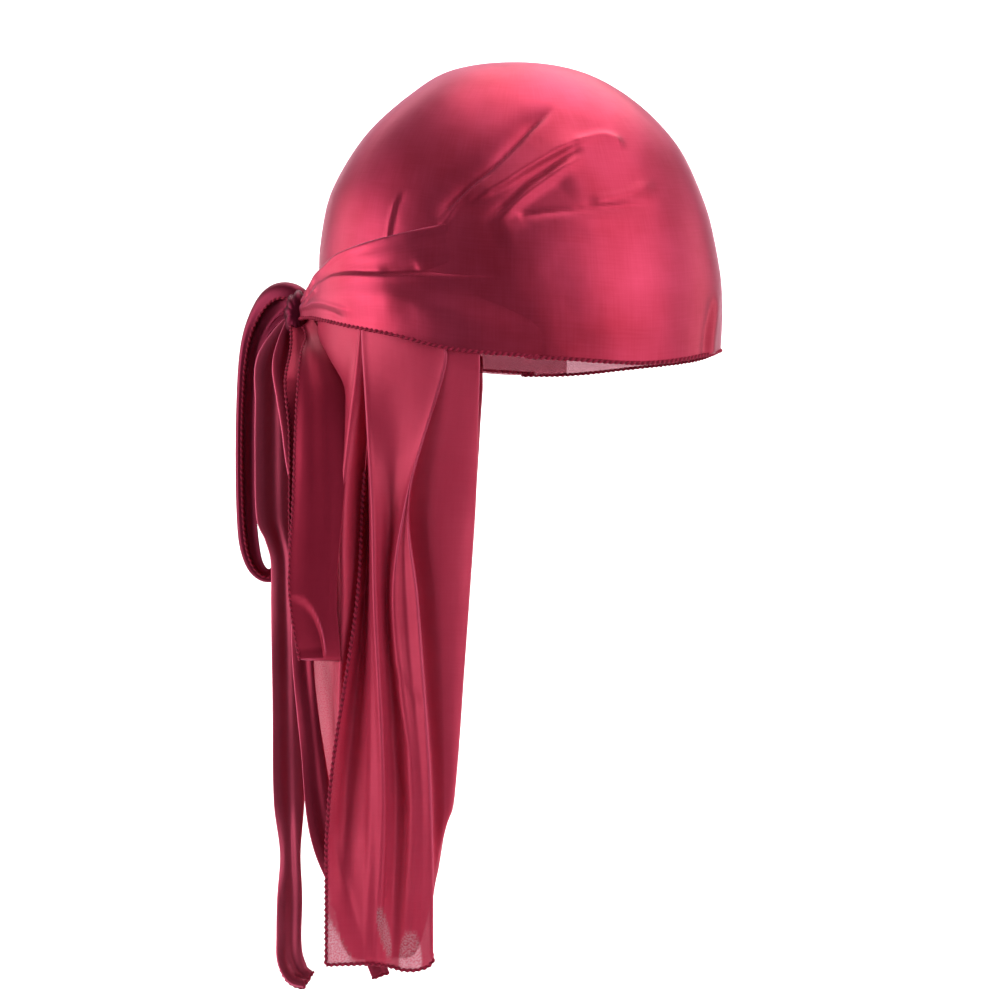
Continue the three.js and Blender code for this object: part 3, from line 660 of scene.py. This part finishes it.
def sheet(name, grid, wall, material, sheer=None):
    """Closed cloth with two faces and a thin rim, from a grid of points down its rows."""
    out = grid_normals(grid)
    # The mark of tight outward folds, where the satin paints a highlight.
    marks = {"crest": np.concatenate([face.ravel() for face in fold_highlight_masks(grid, out)])}
    if sheer is not None:
        marks["sheer"] = np.concatenate([sheer.ravel(), sheer.ravel()])
    rows, columns = grid.shape[:2]
    half = out * wall / 2
    points = np.concatenate([(grid + half).reshape(-1, 3), (grid - half).reshape(-1, 3)])
    front = np.arange(rows * columns).reshape(rows, columns)
    back = front + rows * columns
    ring = np.concatenate([front[0, :-1], front[:-1, -1], front[-1, :0:-1], front[:0:-1, 0]])
    ring = np.concatenate([ring, ring[:1]])
    pairs = np.stack([ring, ring + rows * columns])
    rim = np.stack([pairs[0, :-1], pairs[1, :-1], pairs[1, 1:], pairs[0, 1:]], -1)
    wide = np.linalg.norm(np.diff(grid, axis=1), axis=2).mean(0)
    long = np.linalg.norm(np.diff(grid, axis=0), axis=2).mean(1)
    across = np.concatenate([[0], np.cumsum(wide)])
    down = np.concatenate([[0], np.cumsum(long)])
    cloth = np.stack(np.meshgrid(across, down), -1).reshape(-1, 2) / 1000
    cloth = np.concatenate([cloth, cloth])
    faces = [quads(front), quads(back)[:, ::-1], rim]
    piece = make_mesh(name, points, faces, cloth, material, marks)
    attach(piece, "root")
    return piece, across[-1] / 1000, down[-1] / 1000


# Columns stand closest where the sheet is folded, and rows near the seam.
u = np.interp(np.linspace(0, 1, 400), [0, 0.45, 0.7, 1], [0, 0.23, 0.5, 1])
v = np.linspace(0, 1, 110) ** 1.2
tail_grid = tail_surface(u, v)
swing = smooth(0.05, 0.4, v)[:, None]
ridges = slow_waves(u[None] * 12 + 0 * v[:, None], v[:, None] * 1.0, 5, 7) * 0.04
crumple = slow_waves(u[None] * 7, v[:, None] * 5, 6, 7) * 0.18
pressed = sum(
    rise * np.exp(-(((u - at) * TAIL_SPREAD / wide) ** 2)) for at, rise, wide in TAIL_CREASES
)
pressed = pressed[None] * (0.75 + 0.25 * slow_waves(0 * u[None], v[:, None] * 5, 9))
slants = crease_relief(-tail_grid[..., 1], tail_grid[..., 2], TAIL_SLANTS)
slants = slants * smooth(0.26, 0.23, u)
relief = ((ridges + crumple) * swing) + pressed + slants
tail_grid = tail_grid + grid_normals(tail_grid) * relief[..., None]

# Where the tail hangs in one layer, light shows through its weave: at the foot's back corner,
# an arch and a slit beside it, and a long wedge beside the right-hand edge. There the cloth is
# more see-through, and its colour is painted pale as painted light.
aside, rear, level = tail_grid[..., 0], tail_grid[..., 1], tail_grid[..., 2]
corner = smooth(-0.8, 0.8, (level + 291 - (rear - 79) * 1.72) * -0.5)
corner = corner * smooth(-258, -270, level) * smooth(77, 80, rear)
arch = smooth(1.1, 0.9, np.hypot((rear - 53) / 5.5, (level + 290) / 15))
slit = smooth(1.15, 0.85, np.hypot((rear - 65.5 - (level + 275) * 0.2) / 2.2, (level + 275) / 12))
wedge = 0.7 * smooth(84, 99, rear) * smooth(-85, -150, level)
wedge = wedge * smooth(-235, -180, level) * smooth(30, -10, aside)
sheer = np.maximum.reduce([corner, arch, slit]) * smooth(8, 2, aside)
sheer = np.maximum(sheer, wedge)
# The tail's tones are paler and pinker than the crown's, though it is the same satin: painted light.
cloth = satin(
    "tail_satin", 0xC43454, 0xE85272, see_through=0.22, glow=0.26, shine=0.35, sheer=True
)
tail, tail_wide, tail_long = sheet("tail_cloth", tail_grid, TAIL_CLOTH, cloth, sheer)
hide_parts("tail")
# The right-hand edge comes out from under its own pleats after 28 rows, and the foot's stretch
# inside the pleats has no overlock.
tail_edges = [
    overlock("tail_right_edge_overlock", tail_grid[28:, 0]),
    overlock("tail_left_edge_overlock", tail_grid[6:, -1]),
    overlock("tail_foot_overlock", tail_grid[-1, u > 0.245]),
    overlock("tail_front_foot_overlock", tail_grid[-1, u < 0.128]),
]

# Straps over the crown: each is a wide tapering end of the crown's own lower band, which turns
# into soft pleats as it is pulled back over the tail's seam and gathered into the knot.
STRAP_CLOTH = 0.5
KNOT_STANDOFF = 9.8
KNOT_LEVEL = 24
WRAP_STATIONS = [
    # along, turn, low, high, away
    (0, 0.2, -0.014, 0.43, 0),
    (0.18, 0.275, 0.014, 0.418, 0),
    (0.36, 0.33, 0.066, 0.38, 0),
    (0.54, 0.38, 0.1, 0.345, 0.03),
    (0.7, 0.42, 0.125, 0.31, 0.06),
    (0.84, 0.45, 0.14, 0.265, 0.2),
    (0.94, 0.475, 0.145, 0.225, 0.5),
    (1, 0.49, 0.145, 0.2, 0.75),
]
WRAP_LENGTH = 125
WRAP_CREASES = [
    # rise, width above and below its line, sharpness, and the line as (share along, share up)
    (0.9, 1.0, 2.2, 2, [(0.2, 0.985), (0.4, 0.985), (0.6, 0.985), (0.8, 0.985), (1.3, 0.985)]),
    (0.8, 1.0, 3.5, 1.3, [
        (0.02, 0.57), (0.2, 0.57), (0.36, 0.58), (0.48, 0.62), (0.62, 0.68), (0.8, 0.72), (1.3, 0.7),
    ]),
    (-1.0, 3.0, 1.6, 1.5, [
        (0.1, 0.62), (0.25, 0.62), (0.36, 0.63), (0.45, 0.66), (0.55, 0.72), (0.75, 0.8),
    ]),
    (-0.8, 2.0, 2.0, 2, [(0.28, 0.66), (0.33, 0.66), (0.37, 0.655), (0.42, 0.66)]),
    (0.9, 1.5, 3.0, 1.5, [(0.5, 0.18), (0.6, 0.24), (0.7, 0.3), (0.8, 0.34), (0.9, 0.36), (1.2, 0.36)]),
    (-0.8, 1.6, 2.0, 2, [(0.55, 0.1), (0.66, 0.17), (0.78, 0.22), (0.9, 0.24), (1.2, 0.25)]),
    (1.6, 9.0, 9.0, 2, [(0.2, 0.8), (0.4, 0.8), (0.6, 0.84), (0.8, 0.86), (1.3, 0.85)]),
    (1.0, 9.0, 9.0, 2, [(0.3, 0.3), (0.45, 0.36), (0.6, 0.45), (0.8, 0.5), (1.3, 0.5)]),
    (0.8, 1.2, 1.6, 2, [(0.75, 0.62), (0.85, 0.6), (0.95, 0.58), (1.3, 0.56)]),
    (0.8, 1.0, 1.4, 2, [(0.8, 0.9), (0.88, 0.86), (0.96, 0.82), (1.3, 0.8)]),
]


def wrap_surface(u, v, mirrored):
    _, turn, low, high, away = (a[:, None] for a in read_table(WRAP_STATIONS, u))
    v = v[None]
    over_tail = 2 * (TAIL_CLOTH + LAYER_GAP) + LAYER_GAP + STRAP_CLOTH / 2
    over_tail = over_tail + 0.9 - 2.0 * smooth(0.3, 0.75, v)
    start = -STRAP_CLOTH / 2 - 0.12
    delay = 0.06 * smooth(0.15, 0.6, v)
    on_top = smooth(0.214 + delay, 0.3 + delay, turn)
    level = (low + (high - low) * v) * CROWN_HEIGHT
    on_crown = over_crown(turn, level, 0)
    height = (high - low) * CROWN_HEIGHT
    creases = []
    for *form, line in WRAP_CREASES:
        line = [(a * WRAP_LENGTH, b * np.interp(a, u, height[:, 0])) for a, b in line]
        creases.append((*form, line))
    creased = crease_relief(u[:, None] * WRAP_LENGTH + 0 * v, v * height, creases)
    creased = creased * smooth(0.03, 0.3, u)[:, None]
    relief = crown_relief(on_crown) * (1 - on_top)
    lift = start + (over_tail - start) * on_top + away * KNOT_STANDOFF + relief + creased
    point = over_crown(turn, level, lift)
    if mirrored:
        point[..., 0] *= -1
    return point


for side, mirrored in (("right", False), ("left", True)):
    grid = wrap_surface(np.linspace(0, 1, 170), np.linspace(0, 1, 70), mirrored)
    grid = np.swapaxes(grid, 0, 1)
    cloth = satin("strap_satin_" + side, shine=0.9, haze=0.18, thin_left=0.85 * mirrored)
    wrap, long, wide = sheet("strap_wrap_" + side + "_cloth", grid, STRAP_CLOTH, cloth)
    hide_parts("strap_wrap_" + side)
    hem = overlock("strap_hem_overlock_" + side, grid[0, 10:])

# The knot: both straps pass round each other once and are drawn tight, so the cloth
# stands out in rounded gathers that all run into the middle.
KNOT = np.array([0, CROWN_BACK + KNOT_STANDOFF, KNOT_LEVEL])
KNOT_WIDTH, KNOT_DEPTH, KNOT_HEIGHT = 24, 14.5, 26
RINGS = 88
SPOKES = 120
share = np.linspace(0, 1, RINGS + 2)[1:-1, None]
angle = np.arange(SPOKES)[None] / SPOKES * 2 * np.pi
leaning = 1.5 * np.sin(angle) - 1.1 * np.cos(angle) + 0.25 * np.sin(2 * angle + 4 * share) + 0.5 * share
gathers = np.abs(np.sin(np.pi * leaning)) ** 0.9
radius = np.sin(np.pi * share) ** 0.5 * (0.86 + 0.14 * gathers)
across = -np.cos(np.pi * share) * KNOT_WIDTH / 2 + 0 * angle
deep = np.cos(angle) * radius * KNOT_DEPTH / 2
high = np.sin(angle) * radius * KNOT_HEIGHT / 2
body = np.stack([across, deep, high], -1)
ids = 1 + np.arange(RINGS * SPOKES).reshape(RINGS, SPOKES)
poles = np.array([[-KNOT_WIDTH / 2, 0, 0], [KNOT_WIDTH / 2, 0, 0]])
points = np.concatenate([poles[:1], body.reshape(-1, 3), poles[1:]]) + KNOT
first, last = np.append(ids[0], ids[0][0]), np.append(ids[-1], ids[-1][0])
first_cap = np.stack([0 * ids[0], first[1:], first[:-1]], -1)
last_cap = np.stack([0 * ids[0] + len(points) - 1, last[:-1], last[1:]], -1)
caps = np.concatenate([first_cap, last_cap])
knot_uv = np.stack([share * 0.03 + 0 * angle, angle * 0.012 + 0 * share], -1).reshape(-1, 2)
knot_uv = np.concatenate([[[0, 0]], knot_uv, [[0.03, 0]]])
# The knot's tones are much darker than the rest of the same satin: painted shade.
cloth = satin("knot_satin", 0x5A1028, 0x6E1A32, see_through=0.0, shine=0.9, haze=0)
knot = make_mesh("knot_cloth", points, [quads(ids, True), caps], knot_uv, cloth)
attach(knot, "root")
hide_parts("knot")

# The bow's two loops and the straps' two free ends: ribbons of the same strap, gathered
# lengthwise so that each hangs as a few soft folds between its overlocked edges.
STRAP_WIDTH = 30
STRAP_EDGE_RADIUS = 0.8
RIBBON_ROWS = 200
RIBBON_COLUMNS = 56
LOOP_DROP_RIGHT = 169
LOOP_DROP_LEFT = 137
END_DROP_RIGHT = 322
END_DROP_LEFT = 336
LOOP_RIGHT = [
    # along, side, back, down (shares of the drop), width share, facing in degrees, fullness
    (0, -0.04, -0.02, 0.01, 0.2, 0, 1.6),
    (0.04, -0.1, -0.05, 0.06, 0.22, 0, 1.5),
    (0.08, -0.2, -0.066, 0.123, 0.48, 0, 1.3),
    (0.14, -0.28, -0.0876, 0.234, 0.76, 0, 1.1),
    (0.22, -0.325, -0.0924, 0.391, 0.85, 0, 1),
    (0.3, -0.34, -0.091, 0.553, 0.88, 0, 0.8),
    (0.38, -0.342, -0.083, 0.715, 0.9, 2, 0.7),
    (0.44, -0.338, -0.0822, 0.835, 0.88, 2, 0.6),
    (0.48, -0.325, -0.0925, 0.95, 0.82, 3, 0.4),
    (0.5, -0.305, -0.0975, 1.0, 0.78, 4, 0.3),
    (0.52, -0.285, -0.0945, 0.96, 0.8, 4, 0.4),
    (0.58, -0.27, -0.079, 0.74, 0.88, 2, 0.6),
    (0.76, -0.262, -0.068, 0.36, 0.8, 0, 0.8),
    (0.88, -0.22, -0.025, 0.2, 0.5, -6, 1),
    (0.95, -0.12, -0.008, 0.1, 0.22, -6, 1),
    (1, -0.05, 0.0, 0.02, 0.2, 0, 1),
]
LOOP_LEFT = [
    (0, 0.01, -0.03, -0.01, 0.5, 0, 1),
    (0.04, 0.03, 0.03, -0.055, 0.6, 8, 1),
    (0.1, 0.06, 0.09, -0.045, 0.6, 15, 1),
    (0.16, 0.09, 0.15, 0.03, 0.45, 15, 1),
    (0.22, 0.1, 0.185, 0.13, 0.34, 5, 1),
    (0.3, 0.11, 0.2, 0.293, 0.31, 0, 1),
    (0.37, 0.115, 0.204, 0.508, 0.31, 0, 1),
    (0.43, 0.12, 0.2, 0.72, 0.32, 0, 0.9),
    (0.46, 0.125, 0.19, 0.838, 0.32, 0, 0.8),
    (0.485, 0.13, 0.168, 0.915, 0.27, 0, 0.8),
    (0.51, 0.14, 0.13, 0.95, 0.22, 0, 0.8),
    (0.535, 0.15, 0.09, 0.93, 0.24, 0, 0.8),
    (0.57, 0.16, 0.068, 0.8, 0.3, 0, 0.9),
    (0.65, 0.165, 0.065, 0.508, 0.35, 0, 1),
    (0.76, 0.15, 0.075, 0.293, 0.4, 0, 1),
    (0.87, 0.12, 0.085, 0.15, 0.4, 0, 1),
    (0.94, 0.08, 0.075, 0.05, 0.4, 0, 1),
    (1, 0.03, 0.01, 0.0, 0.35, 0, 1),
]
END_LEFT = [
    (0, 0.006, 0.002, 0.005, 0.3, 0, 1),
    (0.03, 0.007, 0.022, 0.03, 0.4, 0, 1),
    (0.07, 0.008, 0.0395, 0.07, 0.54, 0, 0.8),
    (0.125, 0.008, 0.04, 0.125, 0.55, 0, 0.7),
    (0.21, 0.008, 0.04, 0.208, 0.56, 0, 0.6),
    (0.3, 0.006, 0.038, 0.3, 0.54, 0, 0.6),
    (0.33, 0.005, 0.031, 0.328, 0.43, 0, 0.8),
    (0.36, 0.004, 0.0235, 0.36, 0.41, 8, 0.8),
    (0.42, 0.004, 0.0214, 0.423, 0.44, 8, 0.8),
    (0.57, 0.0, 0.0188, 0.572, 0.43, 0, 0.6),
    (0.72, 0.0, 0.016, 0.721, 0.45, 0, 0.6),
    (0.8, 0.0, 0.012, 0.8, 0.36, 20, 1),
    (0.87, 0.0, 0.0115, 0.87, 0.44, 0, 0.9),
    (0.93, -0.001, 0.0125, 0.93, 0.44, 0, 1.0),
    (0.96, -0.002, 0.0105, 0.957, 0.46, -15, 1.3),
    (0.98, -0.004, 0.001, 0.977, 0.46, -30, 1.6),
    (1, -0.006, -0.016, 0.986, 0.4, -45, 1.8),
]
END_RIGHT = [
    (0, -0.012, 0.004, 0.01, 0.3, 0, 1),
    (0.04, -0.022, 0.012, 0.045, 0.4, 0, 1),
    (0.08, -0.032, 0.0166, 0.08, 0.44, 0, 1),
    (0.125, -0.038, 0.009, 0.125, 0.46, 0, 1),
    (0.17, -0.043, 0.001, 0.17, 0.46, 0, 1),
    (0.225, -0.048, -0.0065, 0.225, 0.46, 0, 1),
    (0.3, -0.052, -0.018, 0.3, 0.42, 10, 1),
    (0.5, -0.085, -0.0145, 0.5, 0.38, 10, 0.6),
    (0.66, -0.12, -0.031, 0.66, 0.36, 5, 0.5),
    (0.8, -0.13, -0.052, 0.8, 0.42, 0, 0.5),
    (0.93, -0.125, -0.11, 0.93, 0.36, 0, 0.8),
    (1, -0.12, -0.135, 1.0, 0.3, 0, 0.6),
]
SPREAD = [
    # share of the cloth's width, place aside and place out, in half widths of the ribbon
    (0, -1, -0.03),
    (0.15, -0.72, -0.015),
    (0.4, -0.22, 0.0),
    (0.68, 0.33, -0.03),
    (0.84, 0.67, 0.01),
    (1, 1, 0.1),
]
ROLLED = [
    (0, 0.1, -0.5),
    (0.14, 0.7, -0.5),
    (0.24, 1, -0.2),
    (0.32, 0.8, 0.12),
    (0.6, 0.1, 0.02),
    (0.8, -0.45, 0.16),
    (1, -1, 0.0),
]
GATHERED = [
    (0, -0.96, 0.2),
    (0.14, -1, 0.0),
    (0.3, -0.6, -0.1),
    (0.5, -0.1, 0.06),
    (0.72, 0.5, -0.12),
    (0.88, 1, -0.02),
    (1, 0.9, 0.16),
]


def ribbon(stations, drop, section, ring, seed):
    """A gathered ribbon of cloth. A ring stays face on as it turns, and others turn under."""
    at = np.linspace(0, 1, RIBBON_ROWS)
    _, side, back, down, wide, facing, full = read_table(stations, at)
    centre = np.stack([side, back, -down], -1) * drop + KNOT
    ahead = unit(np.gradient(centre, axis=0))
    facing = np.radians(facing)[:, None]
    level = np.array([0, 1, 0]) + 0 * ahead
    if ring:
        level = np.stack([0 * at, -ahead[:, 2], ahead[:, 1]], -1)
    across = unit(level - ahead * (ahead * level).sum(-1, keepdims=True))
    out = np.cross(ahead, across)
    turned = across * np.cos(facing) + out * np.sin(facing)
    out = out * np.cos(facing) - across * np.sin(facing)
    across = turned
    share = np.linspace(0, 1, RIBBON_COLUMNS)
    _, aside, stand = read_table(section, share)
    half = (wide * STRAP_WIDTH / 2)[:, None]
    roll = 0.3 * np.sin(2 * np.pi * at * drop / 150 + seed)[:, None] * np.clip(1 - share / 0.3, 0, 1)
    waves = slow_waves(share * 1.1 + 0 * at[:, None], at[:, None] * drop / 60 + 0 * share, seed)
    aside = (aside + roll) * half
    stand = (stand * full[:, None] + 0.05 * waves) * half
    return centre[:, None] + across[:, None] * aside[..., None] + out[:, None] * stand[..., None]


def open_corner(grid):
    """The near loop gapes at its lower back corner, where its front layer curls away."""
    FRONT_LAYER_ROWS = 98
    GAPE = np.array([2.4, 0, 0])
    corner = ((grid[..., 1] - 108) / 14.2) ** 2 + ((grid[..., 2] + 146) / 31) ** 2
    near = (np.arange(RIBBON_ROWS) < FRONT_LAYER_ROWS)[:, None]
    return grid + GAPE * (smooth(1.1, 0.9, corner) * near)[..., None]


# Each ends with its seed, its darker and paler tones, and the row where the overlocked edge
# comes into view. These tones are set darker than the crown's satin, each to its own depth:
# painted shade where the ribbons hang behind the head.
for node, stations, drop, section, ring, seed, shade, light, serged in (
    ("bow_loop_right", LOOP_RIGHT, LOOP_DROP_RIGHT, SPREAD, False, 11, 0x901A34, 0xAC2A46, 0),
    ("bow_loop_left", LOOP_LEFT, LOOP_DROP_LEFT, ROLLED, True, 12, 0x741632, 0x8A2442, 0),
    ("strap_end_right", END_RIGHT, END_DROP_RIGHT, GATHERED, False, 13, 0x821C34, 0x9C2C46, 105),
    ("strap_end_left", END_LEFT, END_DROP_LEFT, GATHERED, False, 14, 0x8A2C42, 0xA63C54, 75),
):
    grid = ribbon(stations, drop, section, ring, seed)
    if node == "bow_loop_right":
        grid = open_corner(grid)
    cloth = satin(node + "_satin", shade, light, see_through=0.03, glow=0.08, shine=0.7)
    piece, wide, long = sheet(node + "_cloth", grid, STRAP_CLOTH, cloth)
    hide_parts(node)
    seen_edge = grid[serged:, 0 if section is ROLLED else -1]
    edges = [overlock(node + "_edge_overlock", seen_edge, STRAP_EDGE_RADIUS)]
    if section is GATHERED:
        edges.append(overlock(node + "_end_overlock", grid[-1], STRAP_EDGE_RADIUS))


# The studio: a pale floor that sweeps up behind, soft light, and the photo's camera.
FLOOR = -0.5
sweep = [(-0.5, 0), (0.9, 0), (1.25, 0.05), (1.5, 0.25), (1.6, 0.6), (1.62, 1.3)]
points = np.array([[x, y, FLOOR + z] for y in (-1.3, 1.3) for x, z in sweep]) * 1000
ids = np.arange(len(points)).reshape(2, -1)
plain = bpy.data.materials.new("studio_paper")
plain.use_nodes = True
paper = plain.node_tree.nodes["Principled BSDF"]
paper.inputs["Base Color"].default_value = linear(0xF4F4F4)
paper.inputs["Roughness"].default_value = 0.9
floor = make_mesh("studio_floor", points, [quads(ids)], points[:, :2] / 1000, plain)


def softbox(name, place, aim, size, power):
    lamp = bpy.data.lights.new(name, "AREA")
    lamp.shape = "RECTANGLE"
    lamp.size, lamp.size_y = size
    lamp.energy = power
    made = bpy.data.objects.new(name, lamp)
    made.location = place
    made.rotation_euler = (Vector(aim) - Vector(place)).to_track_quat("-Z", "Y").to_euler()
    bpy.context.scene.collection.objects.link(made)


softbox("key_front", (-0.82, -1.0, 0.36), (0, 0, 0), (1.0, 1.4), 15)
softbox("front_rim", (0.35, -1.25, 0.1), (0, 0, 0), (0.5, 0.9), 5)
softbox("overhead", (0.08, -0.2, 0.95), (0, 0, 0.05), (0.9, 0.9), 13)
softbox("back_left", (-0.5, 1.05, 0.05), (0, 0.05, 0), (0.45, 0.7), 8)
softbox("back_fill", (0.2, 1.15, 0.1), (0, 0.05, 0), (0.7, 0.8), 7)
softbox("backdrop_wash", (0.8, 0, 0.95), (1.6, 0, -0.2), (2.0, 0.4), 34)

world = bpy.data.worlds.new("studio")
world.use_nodes = True
world.node_tree.nodes["Background"].inputs["Color"].default_value = linear(0xF2F2F4)
world.node_tree.nodes["Background"].inputs["Strength"].default_value = 0.05
bpy.context.scene.world = world
bpy.context.scene.view_settings.view_transform = "Standard"

camera = bpy.data.cameras.new("photo_camera")
camera.sensor_width = 36
camera.lens = 86.4
camera_piece = bpy.data.objects.new("photo_camera", camera)
camera_piece.location = (-1.2, 0.01, -0.068)
camera_piece.rotation_euler = (math.radians(90), 0, math.radians(-90))
bpy.context.scene.collection.objects.link(camera_piece)
bpy.context.scene.camera = camera_piece
